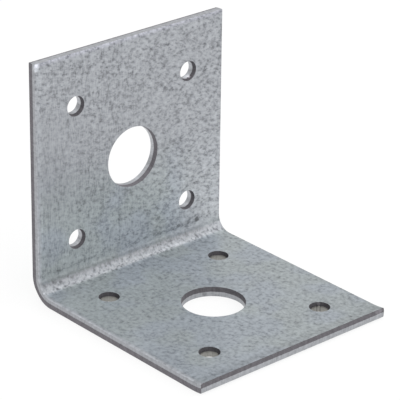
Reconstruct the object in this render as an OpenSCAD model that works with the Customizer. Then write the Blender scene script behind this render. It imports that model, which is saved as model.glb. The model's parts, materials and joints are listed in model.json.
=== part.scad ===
// Angle bracket folded from one piece of galvanised sheet.
// One bolt hole and four nail holes in each leg.
// The origin is the lying leg's bolt hole, at the underside.
// +X runs to the lying leg's free end, +Y along the fold, and +Z up the upright leg.

/* [Sheet] */
// Thickness of the sheet, over the zinc
thickness = 2.6; // [2:0.1:4]
// Width of the bracket along the fold
width = 60; // [48:0.5:120]
// Height of the upright leg, outside
wall_leg = 63.5; // [55:0.5:120]
// Length of the lying leg, outside
base_leg = 63.5; // [61:0.5:120]
// How far the blank's middle lies to one side of the holes' middle line
blank_shift = 0.4; // [0:0.1:2]

/* [Fold] */
// Radius inside the fold
fold_r = 4; // [2:0.5:7]
// How much the outside radius exceeds the inside radius and the sheet, because the fold thins it
fold_thinning = 0.3; // [0:0.05:0.8]
// How far the stretched outside of the fold draws in at each side
fold_draw_in = 0.25; // [0.05:0.05:0.6]

/* [Bolt holes] */
// Diameter of a bolt hole where the punch went in
bolt_hole_d = 15.8; // [8:0.1:20]
// How much the torn part widens a bolt hole's radius
bolt_tear = 0.15; // [0.05:0.05:0.4]
// Height of the upright leg's bolt hole above the underside
wall_bolt_z = 31.2; // [29:0.1:34]
// Distance of the lying leg's bolt hole from the back face
base_bolt_x = 33.6; // [32:0.1:38]

/* [Nail holes] */
// Diameter of a nail hole where the punch went in
nail_hole_d = 4.7; // [3:0.1:6]
// How much the torn part widens a nail hole's radius
nail_tear = 0.3; // [0.05:0.05:0.5]
// Distance between the nail holes along the fold
nail_pitch = 36.2; // [26:0.1:40]
// Distance between the nail holes up the upright leg
wall_nail_pitch = 35.8; // [26:0.1:37]
// Distance between the nail holes along the lying leg
base_nail_pitch = 37.5; // [28:0.1:39]
// How far the upright leg's nail holes are centred above its bolt hole
wall_nail_rise = 0.6; // [-1:0.1:2]
// How far the lying leg's nail holes are centred beyond its bolt hole
base_nail_reach = 0.2; // [-1:0.1:2]

/* [Punched holes] */
// Radius that the punch rolls in round the mouth
punch_roll = 0.15; // [0.1:0.05:0.5]
// Depth of the smooth part of a bolt hole's wall, from the outer face
bolt_land = 1.3; // [0.8:0.05:1.8]
// Depth of the smooth part of a nail hole's wall, from the outer face
nail_land = 1.55; // [0.8:0.05:1.8]

/* [Slit sides] */
// Radius rolled in along the inner face
slit_roll = 0.4; // [0.1:0.05:0.6]
// Depth of the smooth part of a side, from the inner face
slit_land = 1.1; // [0.8:0.1:1.9]
// How far the torn part leans in
slit_tear = 0.15; // [0.05:0.05:0.4]

/* [Sheared ends] */
// Length of the lying leg's end that the shear lifted
lift_length = 3.7; // [2:0.1:5]
// Radius of the lifted end, on its inner face
lift_r = 20; // [12:1:40]
// Radius rolled in along the lifted end's lower edge
base_roll = 0.4; // [0.1:0.05:0.6]
// Depth of the smooth part of the lying leg's end, from the underside
base_land = 1.4; // [0.8:0.1:1.8]
// Radius rolled in along the upright leg's end, on its inner face
wall_roll_r = 2.5; // [1:0.1:4]
// Depth of that rolled edge under the inner face
wall_roll = 0.35; // [0.1:0.05:0.5]
// Depth of the smooth part of the upright leg's end, from the inner face
wall_land = 1.9; // [0.8:0.1:1.9]
// How far the torn part of an end leans back
end_tear = 0.15; // [0.05:0.05:0.4]

/* [Hidden] */
$fn = 96;
// How far the cutting shapes run past the sheet
past = 2;
// Both arcs of the inner face have their centres this far from the outer faces
fold_centre = thickness + fold_r;
outer_fold_r = thickness + fold_r + fold_thinning;
lift_x = base_leg - lift_length;
lift_centre = thickness + lift_r;
lift_angle = asin(lift_length / lift_r);

// The folded sheet in side view, with x from the back face and y from the underside
module fold_profile() {
    difference() {
        union() {
            square([thickness, wall_leg]);
            square([lift_x, thickness]);
            lifted_end();
            difference() {
                square(fold_centre);
                translate([fold_centre, fold_centre]) circle(fold_r);
            }
        }
        difference() {
            translate([-past, -past]) square(outer_fold_r + past);
            translate([outer_fold_r, outer_fold_r]) circle(outer_fold_r);
        }
        wall_end_scrap();
        base_end_scrap();
    }
}

// The last stretch of the lying leg, curved up by the shear
module lifted_end() {
    intersection() {
        translate([lift_x, lift_centre]) difference() {
            circle(lift_r + thickness);
            circle(lift_r);
        }
        translate([lift_x, -past]) square([lift_length, thickness + 2 * past]);
    }
}

// What the shear takes off the upright leg's end: a long rolled edge inside and a lean behind
module wall_end_scrap() {
    roll_height = sqrt(2 * wall_roll_r * wall_roll - pow(wall_roll, 2));
    difference() {
        translate([thickness - wall_roll, wall_leg - roll_height])
            square([wall_roll + past, roll_height + past]);
        translate([thickness - wall_roll_r, wall_leg - roll_height]) circle(wall_roll_r);
    }
    polygon([
        [thickness - wall_land, wall_leg],
        [0, wall_leg - end_tear],
        [-past, wall_leg - end_tear],
        [-past, wall_leg + past],
        [thickness - wall_land, wall_leg + past]
    ]);
}

// What the shear takes off the lying leg's end: a rolled lower edge and a lean above
module base_end_scrap() {
    roll_reach = lift_length - base_roll;
    roll_drop = sqrt(pow(lift_r + thickness - base_roll, 2) - pow(roll_reach, 2));
    roll_angle = atan2(-roll_drop, roll_reach);
    translate([lift_x + roll_reach, lift_centre - roll_drop]) difference() {
        polygon([
            [0, 0],
            past * [cos(roll_angle), sin(roll_angle)],
            [past, -past],
            [past, 0]
        ]);
        circle(base_roll);
    }
    lower_z = lift_centre - sqrt(pow(lift_r + thickness, 2) - pow(lift_length, 2));
    upper_z = lift_centre - sqrt(pow(lift_r, 2) - pow(lift_length, 2));
    polygon([
        [base_leg, lower_z + base_land],
        [base_leg - end_tear, upper_z],
        [base_leg - end_tear, upper_z + past],
        [base_leg + past, upper_z + past],
        [base_leg + past, lower_z + base_land]
    ]);
}

// Carries a section round the whole inner face: x is the depth under that face, y is across the width
module along_inner_face() {
    translate([thickness, 0, fold_centre]) mirror([1, 0, 0])
        linear_extrude(wall_leg) children();
    translate([fold_centre, 0, fold_centre]) rotate([90, 180, 0]) mirror([0, 0, 1])
        rotate_extrude(angle = 90) translate([fold_r, 0]) children();
    translate([fold_centre, 0, thickness]) rotate([0, 90, 0])
        linear_extrude(lift_x - fold_centre) children();
    translate([lift_x, 0, lift_centre]) rotate([90, 90, 0]) mirror([0, 0, 1])
        rotate_extrude(angle = 2 * lift_angle) translate([lift_r, 0]) children();
}

// What slitting takes off a side: a rolled inner edge and a lean towards the outer face
module slit_scrap() {
    difference() {
        translate([-past, -slit_roll]) square([slit_roll + past, slit_roll + past]);
        translate([slit_roll, -slit_roll]) circle(slit_roll);
    }
    polygon([
        [slit_land, 0],
        [thickness, -slit_tear],
        [thickness + past, -slit_tear],
        [thickness + past, past],
        [slit_land, past]
    ]);
}

// What the fold draws in from a side: a plane that leans in across the stretched half
module draw_in_scrap() {
    stretched_r = fold_r + thickness / 2;
    lean = atan(fold_draw_in / (outer_fold_r - stretched_r));
    translate([fold_centre, 0, fold_centre]) rotate([0, 45, 0])
        translate([0, 0, -stretched_r]) rotate([-lean, 0, 0])
            translate([-width / 2, 0, -width]) cube([width, width / 2, width]);
}

// One punched hole up from the outer face at the origin: rolled mouth, smooth land, torn flare
module punched_hole(hole_r, tear, land) {
    translate([0, 0, -past]) cylinder(h = thickness + 2 * past, r = hole_r);
    translate([0, 0, -past]) rotate_extrude() difference() {
        square([hole_r + punch_roll, past + punch_roll]);
        translate([hole_r + punch_roll, past + punch_roll]) circle(punch_roll);
    }
    torn = thickness - land;
    translate([0, 0, land])
        cylinder(h = 2 * torn, r1 = hole_r, r2 = hole_r + 2 * tear);
}

// A leg's holes, centred on its bolt hole, with the nail holes in a rectangle
module hole_set(nail_pitch_x, nail_shift_x) {
    punched_hole(bolt_hole_d / 2, bolt_tear, bolt_land);
    for (x = [-1, 1], y = [-1, 1])
        translate([nail_shift_x + x * nail_pitch_x / 2, y * nail_pitch / 2, 0])
            punched_hole(nail_hole_d / 2, nail_tear, nail_land);
}

module angle_bracket() {
    color("silver") translate([-base_bolt_x, 0, 0]) difference() {
        translate([0, width / 2 - blank_shift, 0]) rotate([90, 0, 0])
            linear_extrude(width) fold_profile();
        for (side = [0, 1])
            translate([0, -blank_shift, 0]) mirror([0, side, 0]) translate([0, width / 2, 0]) {
                along_inner_face() slit_scrap();
                draw_in_scrap();
            }
        translate([base_bolt_x, 0, 0]) hole_set(base_nail_pitch, base_nail_reach);
        translate([0, 0, wall_bolt_z]) mirror([1, 0, -1]) hole_set(wall_nail_pitch, wall_nail_rise);
    }
}

angle_bracket();
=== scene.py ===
import json
import math

import bmesh
import bpy
from mathutils import Euler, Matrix, Vector, kdtree, noise


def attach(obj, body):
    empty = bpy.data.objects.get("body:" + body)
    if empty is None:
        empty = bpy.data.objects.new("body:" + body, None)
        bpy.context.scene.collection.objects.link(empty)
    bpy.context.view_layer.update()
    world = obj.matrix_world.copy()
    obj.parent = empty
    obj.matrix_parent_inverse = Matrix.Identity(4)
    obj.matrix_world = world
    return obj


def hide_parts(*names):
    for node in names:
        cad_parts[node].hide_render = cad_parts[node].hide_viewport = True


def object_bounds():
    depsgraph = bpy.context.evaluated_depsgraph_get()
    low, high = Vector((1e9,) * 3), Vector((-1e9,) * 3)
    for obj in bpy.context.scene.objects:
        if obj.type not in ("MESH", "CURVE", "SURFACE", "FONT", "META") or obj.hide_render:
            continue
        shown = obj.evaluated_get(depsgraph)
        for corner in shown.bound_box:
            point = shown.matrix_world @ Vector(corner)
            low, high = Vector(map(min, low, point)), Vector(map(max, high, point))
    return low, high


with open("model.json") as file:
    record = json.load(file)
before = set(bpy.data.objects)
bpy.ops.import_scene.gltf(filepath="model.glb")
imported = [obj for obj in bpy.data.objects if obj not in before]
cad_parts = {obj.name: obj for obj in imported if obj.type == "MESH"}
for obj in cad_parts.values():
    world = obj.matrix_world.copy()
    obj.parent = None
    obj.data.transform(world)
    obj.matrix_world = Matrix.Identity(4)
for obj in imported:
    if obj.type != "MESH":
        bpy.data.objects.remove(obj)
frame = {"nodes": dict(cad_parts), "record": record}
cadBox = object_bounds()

mm = 0.001
mounts = {mount["name"]: mount for mount in frame["record"]["mounts"]}

# What the frame and the record say of the bracket: lengths in millimetres, the box's middle in metres
thickness = mounts["base_inner_face"]["pos_m"][2] / mm
width = (cadBox[1].y - cadBox[0].y) / mm
legLength = cadBox[1].z / mm
boxMiddle = (cadBox[0] + cadBox[1]) / 2

# How the sheet was cut and folded, in millimetres
sheetSettings = {
    "foldRadius": 4.0,       # inside the fold
    "roll": 0.4,             # rolled edge along the sides
    "rollZinc": 0.6,         # share of its depth that keeps its zinc
    "lift": 3.7,             # length of the lying leg's lifted end
    "liftRadius": 20.0,      # radius of that end, on the inner face
    "skin": 0.02,            # what lies no deeper than this under either face is zinc
    "sideReach": 0.45,       # the cut sides lie within this of the sheet's width
    "endReach": 0.3,         # the cut ends within this of a leg's length
    "holeReach": 0.5,        # and a hole's wall within this of the hole's radius
    "facing": 0.9,           # how squarely a face must look along an axis to belong to it
    "merge": 0.001,          # points of the frame's mesh that are closer than this are one
    "flat": 0.05,            # its faces are joined where they bend by fewer degrees than this
    "cell": 1.0,             # the faces are cut into cells of this size, to carry their unevenness
    "onPlane": 0.0001,       # a point this close to a cutting plane lies on it
    "uneven": 0.03,          # how far the faces sink
    "unevenLength": 9.0,     # distance between two rises
    "unevenFrom": 3.0,       # full at this distance from the cut edges, where the faces stay true
    "crease": 28.0,          # an edge sharper than this many degrees shows as an edge
}

# Cut edges: the face that the tool went in at, how deep it left the edge smooth,
# and the tones of the smooth and the torn part, which hold painted light and shade as well
cutZones = {
    "side": ("inner", 1.10, 0.84, 0.92),
    "front": ("outer", 1.40, 0.87, 0.72),
    # the top edge faces up, and its tones hold painted light
    "top": ("inner", 1.90, 1.10, 1.00),
    # the holes' tones hold painted shade, deepest in the lying leg's holes
    "wallBolt": ("outer", 1.30, 1.03, 0.92),
    "wallNail": ("outer", 1.55, 1.00, 0.77),
    "baseBolt": ("outer", 1.30, 0.78, 0.62),
    "baseNail": ("outer", 1.55, 0.66, 0.45),
}

# What the faces' corners tell the material, and what they say on plain zinc
cornerValues = {
    "along": 0.0,            # distance along the sheet from the fold's middle
    "outer": 0.0,            # 1 on the outer half of the thickness
    "cut": 0.0,              # 1 on a cut edge
    "tear": -1.0,            # how far past its smooth part
    "smoothTone": 1.0,
    "tornTone": 1.0,
    "nail": 0.0,             # 1 in the lying leg's nail holes
}


def placeInSheet(point):
    # Depth under the inner face, and distance along it from the fold's middle: negative up the wall
    fromBack = (point.x - cadBox[0].x) / mm
    fromFloor = point.z / mm
    pastLift = max(fromBack - (legLength - sheetSettings["lift"]), 0.0)
    liftRadius = sheetSettings["liftRadius"]
    fromFloor -= liftRadius - math.sqrt(liftRadius ** 2 - pastLift ** 2)
    out = fromBack - thickness - sheetSettings["foldRadius"]
    up = fromFloor - thickness - sheetSettings["foldRadius"]
    inward = max(-out, 0.0)
    downward = max(-up, 0.0)
    turn = math.atan2(downward, inward) - math.pi / 4
    depth = math.hypot(inward, downward) - sheetSettings["foldRadius"]
    return depth, sheetSettings["foldRadius"] * turn + max(out, 0.0) - max(up, 0.0)


def holesOfRecord():
    # Middle, axis, radius and cut zone of every hole
    holes = []
    for leg, axis, across in (("base", 2, (0, 1)), ("wall", 0, (1, 2))):
        bolt = mounts[leg + "_bolt_hole"]
        nails = mounts[leg + "_nail_holes"]
        holes.append((Vector(bolt["pos_m"]), axis, bolt["dims"]["r_mm"], leg + "Bolt"))
        for first in (-0.5, 0.5):
            for second in (-0.5, 0.5):
                middle = Vector(nails["pos_m"])
                middle[across[0]] += first * nails["dims"]["spacing_x_mm"] * mm
                middle[across[1]] += second * nails["dims"]["spacing_y_mm"] * mm
                holes.append((middle, axis, nails["dims"]["hole_r_mm"], leg + "Nail"))
    return holes


def zoneOf(point, normal, holes):
    # The cut edge that a face lies on, or None on the zinc skin
    depth = placeInSheet(point)[0]
    facing = sheetSettings["facing"]
    skin = sheetSettings["skin"]
    onOuter = depth > thickness - skin and max(abs(normal.x), abs(normal.z)) > facing
    if depth < skin or onOuter:
        return None
    fromSide = width / 2 - abs(point.y - boxMiddle.y) / mm
    underRoll = depth > sheetSettings["roll"] * sheetSettings["rollZinc"]
    if fromSide < sheetSettings["sideReach"] and abs(normal.y) > facing and underRoll:
        return "side"
    endsFrom = legLength - sheetSettings["endReach"]
    if (point.x - cadBox[0].x) / mm > endsFrom and normal.x > facing:
        return "front"
    if point.z / mm > endsFrom and normal.z > facing:
        return "top"
    for middle, axis, radius, zone in holes:
        offset = point - middle
        offset[axis] = 0.0
        if abs(offset.length / mm - radius) < sheetSettings["holeReach"]:
            return zone
    return None


def pastSmooth(zone, depth):
    # How far a depth lies past the smooth part of its zone
    face, smooth = cutZones[zone][:2]
    return depth - smooth if face == "inner" else thickness - smooth - depth


def uneven(point):
    # The zinc lies a little thick and thin: only ever inwards, so the box stays as it is
    wave = noise.noise(point / (sheetSettings["unevenLength"] * mm))
    return -sheetSettings["uneven"] * mm * (0.5 + 0.5 * wave)


def cutIntoCells(shape):
    low, high = cadBox
    onPlane = sheetSettings["onPlane"] * mm
    for axis in range(3):
        normal = Vector([1.0 if axis == i else 0.0 for i in range(3)])
        cells = round((high[axis] - low[axis]) / (sheetSettings["cell"] * mm))
        for step in range(1, cells):
            at = normal * (low[axis] + (high[axis] - low[axis]) * step / cells)
            everything = shape.verts[:] + shape.edges[:] + shape.faces[:]
            bmesh.ops.bisect_plane(shape, geom=everything, dist=onPlane, plane_co=at, plane_no=normal)
    shape.normal_update()
    print("bracket: cut into", len(shape.faces), "cells")


def markCutEdges(shape):
    # Writes the corner values, and gives back for each point whether it lies on a cut edge
    holes = holesOfRecord()
    layers = {name: shape.loops.layers.float.new(name) for name in cornerValues}
    cutFaces = 0
    for face in shape.faces:
        zone = zoneOf(face.calc_center_median(), face.normal, holes)
        cutFaces += zone is not None
        for loop in face.loops:
            depth, distance = placeInSheet(loop.vert.co)
            values = dict(cornerValues, along=distance, outer=float(depth > thickness / 2))
            if zone is not None:
                values["cut"] = 1.0
                values["tear"] = pastSmooth(zone, depth)
                values["smoothTone"], values["tornTone"] = cutZones[zone][2:]
                values["nail"] = float(zone == "baseNail")
            for name, value in values.items():
                loop[layers[name]] = value
    print("bracket:", cutFaces, "of them on cut edges")
    return [any(loop[layers["cut"]] > 0.5 for loop in vertex.link_loops) for vertex in shape.verts]


def sinkFaces(shape, onCutEdge):
    edges = kdtree.KDTree(sum(onCutEdge))
    for vertex, onEdge in zip(shape.verts, onCutEdge):
        if onEdge:
            edges.insert(vertex.co, 0)
    edges.balance()
    for vertex, onEdge in zip(shape.verts, onCutEdge):
        if not onEdge:
            away = edges.find(vertex.co)[2] / mm
            vertex.co += vertex.normal * uneven(vertex.co) * min(away / sheetSettings["unevenFrom"], 1.0)
    shape.normal_update()


def makeBracket():
    shape = bmesh.new()
    shape.from_mesh(frame["nodes"]["angle_bracket"].data)
    bmesh.ops.remove_doubles(shape, verts=shape.verts, dist=sheetSettings["merge"] * mm)
    flat = math.radians(sheetSettings["flat"])
    bmesh.ops.dissolve_limit(shape, angle_limit=flat, verts=shape.verts, edges=shape.edges)
    cutIntoCells(shape)
    onCutEdge = markCutEdges(shape)
    sinkFaces(shape, onCutEdge)
    for face in shape.faces:
        face.smooth = True
    for edge in shape.edges:
        edge.smooth = edge.calc_face_angle(math.pi) < math.radians(sheetSettings["crease"])
    mesh = bpy.data.meshes.new("bracket")
    shape.to_mesh(mesh)
    shape.free()
    piece = bpy.data.objects.new("bracket", mesh)
    bpy.context.scene.collection.objects.link(piece)
    return piece


class Wire:
    # A node's output: a sum or product of wires and numbers adds the nodes that work it out
    def __init__(self, tree, socket=None):
        self.tree = tree
        self.socket = socket

    def node(self, kind, settings=None, sockets=None, output=0):
        made = self.tree.nodes.new(kind)
        for name, value in (settings or {}).items():
            if name == "stops":
                self.setStops(made.color_ramp, value)
            else:
                setattr(made, name, value)
        for name, value in (sockets or {}).items():
            socket = made.inputs[name]
            if isinstance(value, Wire):
                self.tree.links.new(value.socket, socket)
            elif socket.type == "RGBA":
                socket.default_value = (*value, 1.0)
            else:
                socket.default_value = value
        return Wire(self.tree, made.outputs[output] if made.outputs else None)

    @staticmethod
    def setStops(ramp, stops):
        while len(ramp.elements) < len(stops):
            ramp.elements.new(1.0)
        for element, (place, colour) in zip(ramp.elements, stops):
            element.position = place
            element.color = (*colour, 1.0)

    def maths(self, operation, *values):
        return self.node("ShaderNodeMath", {"operation": operation}, dict(enumerate(values)))

    def vectorMaths(self, operation, sockets, output=0):
        return self.node("ShaderNodeVectorMath", {"operation": operation}, {0: self, **sockets}, output)

    def __add__(self, other):
        return self.maths("ADD", self, other)

    __radd__ = __add__

    def __sub__(self, other):
        return self.maths("SUBTRACT", self, other)

    def __rsub__(self, other):
        return self.maths("SUBTRACT", other, self)

    def __mul__(self, other):
        return self.maths("MULTIPLY", self, other)

    __rmul__ = __mul__

    def highest(self, other):
        return self.maths("MAXIMUM", self, other)

    def size(self):
        return self.maths("ABSOLUTE", self)

    def rise(self, low, high):  # 0 below low, 1 above high, smooth between them
        smooth = {"interpolation_type": "SMOOTHSTEP"}
        return self.node("ShaderNodeMapRange", smooth, {"Value": self, "From Min": low, "From Max": high})

    def fall(self, low, high):  # 1 below low, 0 above high
        return 1.0 - self.rise(low, high)

    def near(self, middle, reach):  # 1 about the middle, 0 from reach away
        return (self - middle).size().fall(reach * 0.3, reach)

    def between(self, first, second):  # this wire is the share of the second number
        return self * (second - first) + first

    def mix(self, first, second):  # this wire is the share of the second colour
        return self.node("ShaderNodeMix", {"data_type": "RGBA"}, {"Factor": self, 6: first, 7: second}, 2)

    def ramp(self, stops):
        return self.node("ShaderNodeValToRGB", {"stops": stops}, {"Fac": self})

    def times(self, other):  # a colour times a colour
        return self.vectorMaths("MULTIPLY", {1: other})

    def scaled(self, share):  # a colour times a number
        return self.vectorMaths("SCALE", {"Scale": share})

    def part(self, axis):  # one coordinate of a place
        return self.node("ShaderNodeSeparateXYZ", {}, {"Vector": self}, axis)

    def turned(self, degrees):  # a place turned about the X axis
        turn = (math.radians(degrees), 0.0, 0.0)
        return self.node("ShaderNodeMapping", {}, {"Vector": self, "Rotation": turn})

    def stretched(self, scale):
        return self.node("ShaderNodeMapping", {}, {"Vector": self, "Scale": scale})

    def awayFrom(self, middle, reach):  # distance of a place from a point, where reach counts as 1
        scale = tuple(1.0 / size for size in reach)
        return self.vectorMaths("SUBTRACT", {1: middle}).times(scale).vectorMaths("LENGTH", {}, "Value")

    def pattern(self, name):  # from 0 to 1, and 0.5 on average
        squeeze, length, detail, rough = patterns[name]
        place = self.stretched(squeeze) if squeeze else self
        sockets = {"Vector": place, "Scale": 1.0 / length, "Detail": detail, "Roughness": rough}
        return self.node("ShaderNodeTexNoise", {"noise_dimensions": "3D"}, sockets)


# Patterns: how much each is squeezed along X, Y and Z, the distance between two blotches
# in millimetres, how many finer layers lie in it, and how strong they are
patterns = {
    "softWall": ((1.0, 0.85, 1.35), 1.3, 2.0, 0.6),
    "softBase": (None, 1.3, 2.0, 0.6),
    "grainWall": ((1.0, 0.85, 1.35), 0.9, 1.0, 0.6),
    "grainBase": (None, 0.9, 1.0, 0.6),
    "dashes": ((1.0, 0.8, 1.8), 0.75, 1.0, 0.6),
    "broad": ((1.0, 0.8, 1.2), 4.0, 1.0, 0.5),
    "hatch": ((1.0, 2.0, 0.5), 0.75, 1.0, 0.6),
    "lines": ((1.0, 1.0, 0.04), 0.8, 1.0, 0.5),
    "tint": (None, 11.0, 1.0, 0.5),
    "foldBorder": (None, 0.7, 2.0, 0.5),
    "foldFlecks": ((1.0, 0.8, 1.0), 0.6, 1.0, 0.5),
    "foldDashes": ((1.0, 0.3, 1.0), 0.7, 1.0, 0.5),
    "tear": (None, 0.8, 3.0, 0.5),
    "wallStreaks": ((0.06, 1.0, 1.0), 0.28, 2.0, 0.5),   # the streaks run through the thickness,
    "baseStreaks": ((1.0, 1.0, 0.06), 0.28, 2.0, 0.5),   # so on each leg they leave out its own depth
}

# Zinc: tones as written colours from 0 to 1, places and reaches in millimetres
zincSettings = {
    "tones": [
        (0.00, (0.108, 0.115, 0.128)),
        (0.30, (0.216, 0.226, 0.243)),
        (0.55, (0.331, 0.346, 0.369)),
        (1.00, (0.450, 0.468, 0.495)),
    ],
    "plain": 0.56,           # place of plain zinc among these tones
    "soft": 1.3,             # contrast of the soft blotches
    "grain": 0.9,            # of the grain
    "dashes": 0.15,          # of the dark dashes that lie along the fold
    "dashBorder": (0.30, 0.45),
    "broad": 0.25,           # of the broad faint clouds
    "hatch": 0.65,           # of the upright dashes on the wall's left half
    "lines": 0.26,           # and of the faint upright lines there
    "hatchSoft": 0.3,        # how much fainter the soft blotches are there
    "wallTurn": 15.0,        # the wall's blotches lie this many degrees off the fold's line
    "wallContrast": 1.03,
    "calm": 0.15,            # how much of it is lost at the left, under the top
    "calmEdge": 0.30,        # and how much more beside the left edge
    "baseContrast": 0.71,
    "baseRight": 0.11,       # how much more there is on the lying leg's right half
    "grey": (1.000, 0.998, 1.000),     # tint of the wall's upper part
    "green": (0.978, 1.026, 0.993),    # tints of the rest
    "blue": (0.955, 1.006, 1.034),
    "tintBorder": (0.42, 0.62),
    "greyRight": 0.8,        # how much of these two is lost at the wall's right
    "lilac": (1.000, 0.980, 1.028),    # tint of the rolled top
    "paintedLightCorner": 0.10,      # how much painted light lies beside the fold
    "cornerPlace": -2.0,
    "cornerReach": 27.0,
    "paintedLightRight": 0.10,       # painted light low down at the wall's right edge
    "paintedHighlightWallEdge": 0.14,    # painted highlight beside the wall's near side, along its rolled edge
    "paintedHighlightBaseEdge": 0.26,    # painted highlight beside the lying leg's near side
    "paintedHighlightTop": 0.26,         # and a painted highlight on the rolled top
    "paintedShadeUpper": 0.05,       # painted shade: how much darker it is up the wall
    "paintedShadeFront": 0.03,       # painted shade on the last part of the lying leg
    "paintedShadeFarEdge": 0.12,     # painted shade right at the far side
    "darkLift": 0.08,        # and along the line where the lying leg's end lifts
    "liftPlace": 58.1,
    "liftReach": 1.5,
    "metal": 0.35,           # the rest is a dull skin of zinc carbonate
    "roughness": 0.30,
    "relief": 0.02,          # height of its bumps
}

# The fold, by distance along the inner face from its middle: negative up the wall
foldSettings = {
    "reach": 4.5,
    "tones": [               # how the tool darkened the zinc across the fold, with painted shade in its crease
        (-4.5, 1.00), (-4.2, 0.99), (-3.7, 0.90), (-3.2, 0.98), (-2.3, 0.96),
        (-1.7, 0.68), (-1.2, 0.66), (-0.5, 0.82), (0.0, 0.87), (0.5, 0.96),
        (1.0, 1.00), (1.5, 0.94), (2.1, 0.88), (2.8, 0.95), (4.5, 1.00),
    ],
    "outside": 200.0,        # moves the outer half out of reach of all this
    "ragged": 0.8,           # how far its borders stray
    "band": 1.3,             # the rubbed band reaches this far each way
    "bandBorder": 0.3,       # and fades over this much less to this much more
    "grain": 0.6,            # contrast of its grain
    "flecks": 1.3,           # contrast of the flecks along its lower border
    "fleckPlace": 1.0,
    "fleckReach": 0.8,
    "fewFlecks": 0.4,        # share of that contrast on the right
    "dashes": 0.16,          # dark dashes along the line that the tool's edge left
    "dashPlace": -3.7,
    "dashReach": 0.7,
    "dashBorder": (0.42, 0.58),
    "paintedShine": 0.20,           # painted highlight: a bright line along the lower border, on the right half
    "shinePlace": 0.95,
    "shineReach": 0.6,
    "dullAndShade": 0.12,            # and how much darker the band is above it: partly duller rubbed zinc, partly painted shade
    "dullAndShadePlace": -0.4,
    "dullAndShadeReach": 1.4,
}

# Where these begin and end, in millimetres: along the inner face as on the fold, across from the
# holes' middle line and negative on the left, up from the floor, or in from the near or far side
fades = {
    "alongOnWall": (-4.0, 0.0),
    "alongTinted": (-34.0, -14.0),
    "alongPaintedShadeFront": (38.0, 50.0),
    "acrossCalm": (-6.0, 20.0),
    "acrossCalmEdge": (-26.0, -12.0),
    "acrossBaseRight": (-24.0, 0.0),
    "acrossHatch": (-6.0, 12.0),
    "acrossGrey": (10.0, 22.0),
    "acrossPaintedLightRight": (10.0, 26.0),
    "acrossPaintedHighlightTop": (-5.0, 24.0),
    "acrossFewFlecks": (4.0, 16.0),
    "acrossFoldEnd": (22.0, 27.5),
    "acrossShine": (2.0, 10.0),
    "acrossShineEnd": (20.0, 27.0),
    "acrossDullAndShade": (12.0, 20.0),
    "upCalm": (42.0, 54.0),
    "upCalmEdge": (46.0, 58.0),
    "upLilac": (62.2, 63.2),
    "upPaintedLightRight": (24.0, 52.0),
    "upPaintedHighlightTop": (62.3, 63.4),
    "upPaintedShadeUpper": (10.0, 24.0),
    "nearTinted": (0.3, 1.5),
    "nearWallEdge": (0.5, 2.4),
    "nearBaseEdge": (0.1, 1.0),
    "farEdge": (0.2, 0.7),
}

# Small marks on the zinc and in the holes, and a painted highlight: middle, reach each way, share lighter or
# darker
markAndHighlightSettings = [
    # painted highlight on the rolled top at the wall's near corner
    ((-31.0, -30.0, 62.6), (0.9, 1.0, 1.3), 0.60),
    ((-31.0, 21.6, 7.3), (0.9, 1.0, 1.0), -0.52),
    ((-31.0, 15.4, 7.4), (0.7, 0.7, 0.7), -0.52),
    ((-31.0, -29.0, 21.0), (0.5, 0.35, 6.0), 0.20),
    ((17.0, 19.7, 2.1), (0.5, 0.4, 1.0), 0.60),
    ((16.9, 19.2, 0.7), (0.3, 0.3, 1.8), -0.30),
    ((17.4, 19.9, 0.7), (0.3, 0.3, 1.8), -0.30),
    ((-32.4, 18.7, 47.4), (1.0, 1.3, 1.0), 0.45),
    ((-31.9, 19.2, 47.6), (0.40, 0.45, 0.45), 2.00),
    ((-32.0, 18.3, 47.3), (0.25, 0.30, 0.30), 1.50),
    ((-7.2, 3.4, 0.8), (0.60, 0.80, 0.8), -0.30),
    ((-5.3, 5.9, 0.3), (0.90, 0.90, 0.5), -0.20),
    ((29.9, 27.8, 2.4), (0.6, 1.7, 0.9), 0.40),
    ((29.9, 29.5, 1.4), (0.6, 0.25, 2.0), -0.35),
]
markFull = 0.5               # each is full up to this share of its reach

# Cut edges: bright where the blade rubbed, dark and rough where the steel tore
cutSettings = {
    "smooth": (0.440, 0.452, 0.478),
    # painted shade and reflection: the smooth part of the lying leg's nail holes takes the warm grey of the
    # shaded ground beneath
    "nailSmoothPaintedShade": (0.460, 0.455, 0.430),
    "torn": (0.250, 0.240, 0.260),
    "ragged": 0.24,          # how raggedly the tear leaves the smooth part
    "tearBorder": (-0.05, 0.05),
    "streaks": 0.5,          # contrast of the streaks
    "grain": 0.5,            # and of the grain
    "metal": 1.0,
    "smoothRoughness": 0.35,
    "tornRoughness": 0.7,
    "relief": 0.05,
}


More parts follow.
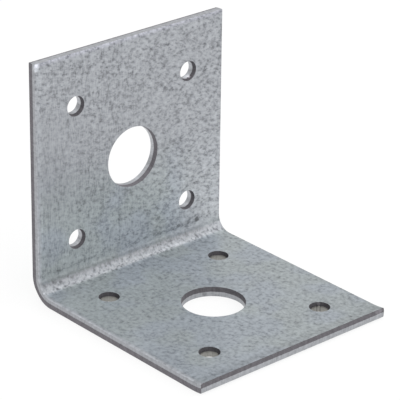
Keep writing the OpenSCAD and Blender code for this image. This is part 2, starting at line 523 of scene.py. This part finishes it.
class Surface:
    # Wires that say where on the bracket a point lies, in millimetres, and what several tones there share
    def __init__(self, start):
        for name in cornerValues:
            setattr(self, name, start.node("ShaderNodeAttribute", {"attribute_name": name}, output="Fac"))
        self.place = start.node("ShaderNodeTexCoord", output="Object").stretched((1 / mm, 1 / mm, 1 / mm))
        self.across = self.place.part("Y")
        self.up = self.place.part("Z")
        self.fromNear = self.across - (boxMiddle.y / mm - width / 2)
        self.fromFar = (boxMiddle.y / mm + width / 2) - self.across
        self.onWall = self.along.fall(*fades["alongOnWall"])

        # The fold's rubbed band has a ragged border, and lies on the inner face only
        self.inFold = self.outer * foldSettings["outside"] + self.along
        self.ragged = self.inFold + (self.place.pattern("foldBorder") - 0.5) * foldSettings["ragged"]
        inside = foldSettings["band"] - foldSettings["bandBorder"]
        outside = foldSettings["band"] + foldSettings["bandBorder"]
        self.band = self.ragged.size().fall(inside, outside)

        # Soft blotches, grain and dashes: on the wall they lie a little off the fold's line
        turned = self.place.turned(zincSettings["wallTurn"])
        self.soft = self.onWall.between(self.place.pattern("softBase"), turned.pattern("softWall"))
        self.grain = self.onWall.between(self.place.pattern("grainBase"), turned.pattern("grainWall"))
        self.dashes = turned.pattern("dashes").fall(*zincSettings["dashBorder"])

        self.marksAndHighlight = 1.0
        for middle, reach, change in markAndHighlightSettings:
            self.marksAndHighlight = self.marksAndHighlight + self.place.awayFrom(middle, reach).fall(markFull, 1.0) * change


def contrastOf(surface):
    # How strong the mottle is on the wall and on the lying leg
    across = surface.across
    calm = across.fall(*fades["acrossCalm"]) * surface.up.fall(*fades["upCalm"])
    calmEdge = across.fall(*fades["acrossCalmEdge"]) * surface.up.fall(*fades["upCalmEdge"])
    lost = calm * zincSettings["calm"] + calmEdge * zincSettings["calmEdge"]
    base = across.rise(*fades["acrossBaseRight"]) * zincSettings["baseRight"] + zincSettings["baseContrast"]
    return surface.onWall.between(base, zincSettings["wallContrast"] - lost)


def mottleOf(surface):
    # Where the zinc stands among its tones
    place = surface.place
    soft = surface.soft - 0.5
    grain = surface.grain - 0.5
    mottle = soft * zincSettings["soft"] + grain * zincSettings["grain"]
    mottle = (mottle - surface.dashes * zincSettings["dashes"]) * contrastOf(surface) + zincSettings["plain"]
    mottle = mottle + (place.pattern("broad") - 0.5) * zincSettings["broad"]

    # Upright dashes and lines on the wall's left half
    upright = (place.pattern("hatch") - 0.5) * zincSettings["hatch"] - soft * zincSettings["hatchSoft"]
    upright = upright + (place.pattern("lines") - 0.5) * zincSettings["lines"]
    mottle = mottle + upright * (surface.onWall * surface.across.fall(*fades["acrossHatch"]))

    # The fold: grain in the band, flecks below it and dark dashes above it
    mottle = mottle + surface.band * grain * foldSettings["grain"]
    flecks = surface.ragged.near(foldSettings["fleckPlace"], foldSettings["fleckReach"])
    flecks = flecks * (place.pattern("foldFlecks") - 0.5)
    flecks = flecks * surface.across.rise(*fades["acrossFewFlecks"]).between(1.0, foldSettings["fewFlecks"])
    mottle = mottle + flecks * foldSettings["flecks"]
    dashes = surface.ragged.near(foldSettings["dashPlace"], foldSettings["dashReach"])
    dashes = dashes * place.pattern("foldDashes").rise(*foldSettings["dashBorder"])
    dashes = dashes * surface.across.fall(*fades["acrossFoldEnd"])
    return mottle - dashes * foldSettings["dashes"]


def tintOf(surface):
    clouds = surface.place.pattern("tint").rise(*zincSettings["tintBorder"])
    tint = clouds.mix(zincSettings["green"], zincSettings["blue"])
    tinted = surface.along.rise(*fades["alongTinted"]) * (1.0 - surface.band)
    tinted = tinted * surface.fromNear.rise(*fades["nearTinted"])
    greyRight = surface.across.rise(*fades["acrossGrey"]) * surface.onWall * zincSettings["greyRight"]
    tint = (tinted * (1.0 - greyRight)).mix(zincSettings["grey"], tint)
    return surface.up.rise(*fades["upLilac"]).mix(tint, zincSettings["lilac"])


def foldToneAndShadeOf(surface):
    # How dark the folding tool left the zinc, with the painted shade in the crease, as a grey
    scale = 1.0 / (2 * foldSettings["reach"])
    stops = [(at * scale + 0.5, (tone, tone, tone)) for at, tone in foldSettings["tones"]]
    tone = (surface.ragged * scale + 0.5).ramp(stops)
    return surface.across.rise(*fades["acrossFoldEnd"]).mix(tone, (1.0, 1.0, 1.0))


def broadToneAndPaintedLightOf(surface):
    # Broad changes of tone, as a number about 1: mostly painted light and shade, with painted highlights
    # along the rolled edges and the fold
    along = surface.along
    across = surface.across
    up = surface.up
    onWall = surface.onWall
    fromNear = surface.fromNear
    # painted light beside the fold
    corner = along.near(zincSettings["cornerPlace"], zincSettings["cornerReach"])
    tone = corner * zincSettings["paintedLightCorner"] + 1.0
    # painted light low down at the wall's right
    right = across.rise(*fades["acrossPaintedLightRight"]) * up.fall(*fades["upPaintedLightRight"])
    tone = tone + right * onWall * zincSettings["paintedLightRight"]
    # painted highlights along the rolled near edges
    tone = tone + fromNear.fall(*fades["nearWallEdge"]) * onWall * zincSettings["paintedHighlightWallEdge"]
    tone = tone + fromNear.fall(*fades["nearBaseEdge"]) * (1.0 - onWall) * zincSettings["paintedHighlightBaseEdge"]
    # painted highlight on the rolled top
    top = up.rise(*fades["upPaintedHighlightTop"]) * across.fall(*fades["acrossPaintedHighlightTop"])
    tone = tone + top * zincSettings["paintedHighlightTop"]
    # painted shade up the wall
    tone = tone - up.rise(*fades["upPaintedShadeUpper"]) * onWall * zincSettings["paintedShadeUpper"]
    # painted shade on the last part of the lying leg
    tone = tone - along.rise(*fades["alongPaintedShadeFront"]) * zincSettings["paintedShadeFront"]
    tone = tone - along.near(zincSettings["liftPlace"], zincSettings["liftReach"]) * zincSettings["darkLift"]
    # painted shade at the far side
    tone = tone - surface.fromFar.fall(*fades["farEdge"]) * zincSettings["paintedShadeFarEdge"]
    # painted highlight along the fold's lower border
    paintedShine = surface.inFold.near(foldSettings["shinePlace"], foldSettings["shineReach"])
    paintedShine = paintedShine * across.rise(*fades["acrossShine"]) * across.fall(*fades["acrossShineEnd"])
    tone = tone + paintedShine * foldSettings["paintedShine"]
    # partly duller rubbed zinc, partly painted shade above the band
    dullAndShade = surface.inFold.near(foldSettings["dullAndShadePlace"], foldSettings["dullAndShadeReach"])
    return tone - dullAndShade * across.rise(*fades["acrossDullAndShade"]) * foldSettings["dullAndShade"]


def cutColourOf(surface, torn):
    place = surface.place
    # the lying leg's nail holes take the painted shade colour in their smooth part
    smooth = surface.nail.mix(cutSettings["smooth"], cutSettings["nailSmoothPaintedShade"])
    streaks = surface.onWall.between(place.pattern("baseStreaks"), place.pattern("wallStreaks"))
    tone = (streaks - 0.5) * cutSettings["streaks"] + (surface.grain - 0.5) * cutSettings["grain"] + 1.0
    # each zone's tones, with their painted light and shade
    tone = tone * torn.between(surface.smoothTone, surface.tornTone)
    return torn.mix(smooth, cutSettings["torn"]).scaled(tone * surface.marksAndHighlight)


def galvanisedSteel():
    material = bpy.data.materials.new("galvanisedSteel")
    material.use_nodes = True
    tree = material.node_tree
    tree.nodes.clear()
    start = Wire(tree)
    surface = Surface(start)

    mottle = mottleOf(surface)
    zinc = mottle.ramp(zincSettings["tones"]).times(tintOf(surface)).times(foldToneAndShadeOf(surface))
    # the broad tone carries painted light and shade, and the marks one painted highlight
    zinc = zinc.scaled(broadToneAndPaintedLightOf(surface) * surface.marksAndHighlight)

    ragged = (surface.place.pattern("tear") - 0.5) * cutSettings["ragged"]
    torn = (surface.tear + ragged).rise(*cutSettings["tearBorder"])
    colour = surface.cut.mix(zinc, cutColourOf(surface, torn))

    torn = torn * surface.cut
    smooth = surface.cut - torn
    metal = surface.cut.between(zincSettings["metal"], cutSettings["metal"])
    roughness = smooth.between(zincSettings["roughness"], cutSettings["smoothRoughness"])
    roughness = torn * (cutSettings["tornRoughness"] - zincSettings["roughness"]) + roughness
    height = mottle * (zincSettings["relief"] * mm) + torn * surface.grain * (cutSettings["relief"] * mm)
    bump = start.node("ShaderNodeBump", {}, {"Strength": 1.0, "Distance": 1.0, "Height": height})
    sockets = {"Base Color": colour, "Roughness": roughness, "Metallic": metal, "Normal": bump}
    steel = start.node("ShaderNodeBsdfPrincipled", {}, sockets)
    start.node("ShaderNodeOutputMaterial", {}, {"Surface": steel})
    return material


# Floor, sky and lamps
stageSettings = {
    "floorReach": 3.0,       # metres each way
    "floorWhite": 0.92,
    "floorOwnLight": 0.82,   # share of the floor's white that no shadow darkens
    "skyRim": 0.58,          # strength of the sky at the horizon
    "skyTop": 0.95,          # how much more overhead
    "lamps": [
        # name, direction it stands in, metres away, metres across, watts
        ("front", (0.90, -0.30, 0.30), 0.9, 0.9, 2.2),
        ("right", (0.30, 0.90, 0.30), 0.9, 0.9, 3.9),
    ],
}


def makeFloor():
    grid = bmesh.new()
    bmesh.ops.create_grid(grid, x_segments=1, y_segments=1, size=stageSettings["floorReach"])
    mesh = bpy.data.meshes.new("floor")
    grid.to_mesh(mesh)
    grid.free()
    floor = bpy.data.objects.new("floor", mesh)
    bpy.context.scene.collection.objects.link(floor)
    material = bpy.data.materials.new("paleFloor")
    material.use_nodes = True
    tree = material.node_tree
    tree.nodes.clear()
    start = Wire(tree)
    white = stageSettings["floorWhite"]
    seen = start.node("ShaderNodeLightPath", output="Is Camera Ray")
    for ray in ("Is Glossy Ray", "Is Transmission Ray"):
        seen = seen.highest(start.node("ShaderNodeLightPath", output=ray))
    matt = start.node("ShaderNodeBsdfDiffuse", {}, {"Color": (white, white, white)})
    glow = start.node("ShaderNodeEmission", {}, {"Strength": 1.0})
    look = start.node("ShaderNodeMixShader", {}, {0: seen * stageSettings["floorOwnLight"], 1: matt, 2: glow})
    start.node("ShaderNodeOutputMaterial", {}, {"Surface": look})
    mesh.materials.append(material)


def makeSky():
    world = bpy.data.worlds.new("studio")
    bpy.context.scene.world = world
    world.use_nodes = True
    tree = world.node_tree
    tree.nodes.clear()
    start = Wire(tree)
    height = start.node("ShaderNodeTexCoord", output="Generated").part("Z").highest(0.0)
    strength = height * height * stageSettings["skyTop"] + stageSettings["skyRim"]
    strength = start.node("ShaderNodeLightPath", output="Is Camera Ray").between(strength, 1.0)
    sky = start.node("ShaderNodeBackground", {}, {"Color": (1.0, 1.0, 1.0), "Strength": strength})
    start.node("ShaderNodeOutputWorld", {}, {"Surface": sky})


def makeLamps():
    for name, direction, away, across, watts in stageSettings["lamps"]:
        light = bpy.data.lights.new(name, "AREA")
        light.shape = "DISK"
        light.size = across
        light.energy = watts
        lamp = bpy.data.objects.new(name, light)
        lamp.location = boxMiddle + Vector(direction).normalized() * away
        lamp.rotation_euler = (boxMiddle - lamp.location).to_track_quat("-Z", "Y").to_euler()
        bpy.context.scene.collection.objects.link(lamp)


# The photograph's viewpoint
cameraSettings = {
    "lens": 217.106,
    "sensor": 36.0,
    "place": (394.081, -355.136, 275.355),   # millimetres
    "turn": (65.1928, -0.6697, 48.6806),     # degrees
    "sees": (0.01, 20.0),                    # from and to, in metres
}


def makeCamera():
    data = bpy.data.cameras.new("camera")
    data.sensor_width = cameraSettings["sensor"]
    data.lens = cameraSettings["lens"]
    data.clip_start, data.clip_end = cameraSettings["sees"]
    camera = bpy.data.objects.new("camera", data)
    camera.location = Vector(cameraSettings["place"]) * mm
    camera.rotation_euler = Euler([math.radians(turn) for turn in cameraSettings["turn"]])
    bpy.context.scene.collection.objects.link(camera)
    bpy.context.scene.camera = camera


makeCamera()
bracket = makeBracket()
bracket.data.materials.append(galvanisedSteel())
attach(bracket, "root")
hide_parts("angle_bracket")
print("bracket: dressed in galvanised steel")

makeFloor()
makeSky()
makeLamps()
bpy.context.scene.view_settings.view_transform = "Standard"
print("stage: floor, sky and lamps")
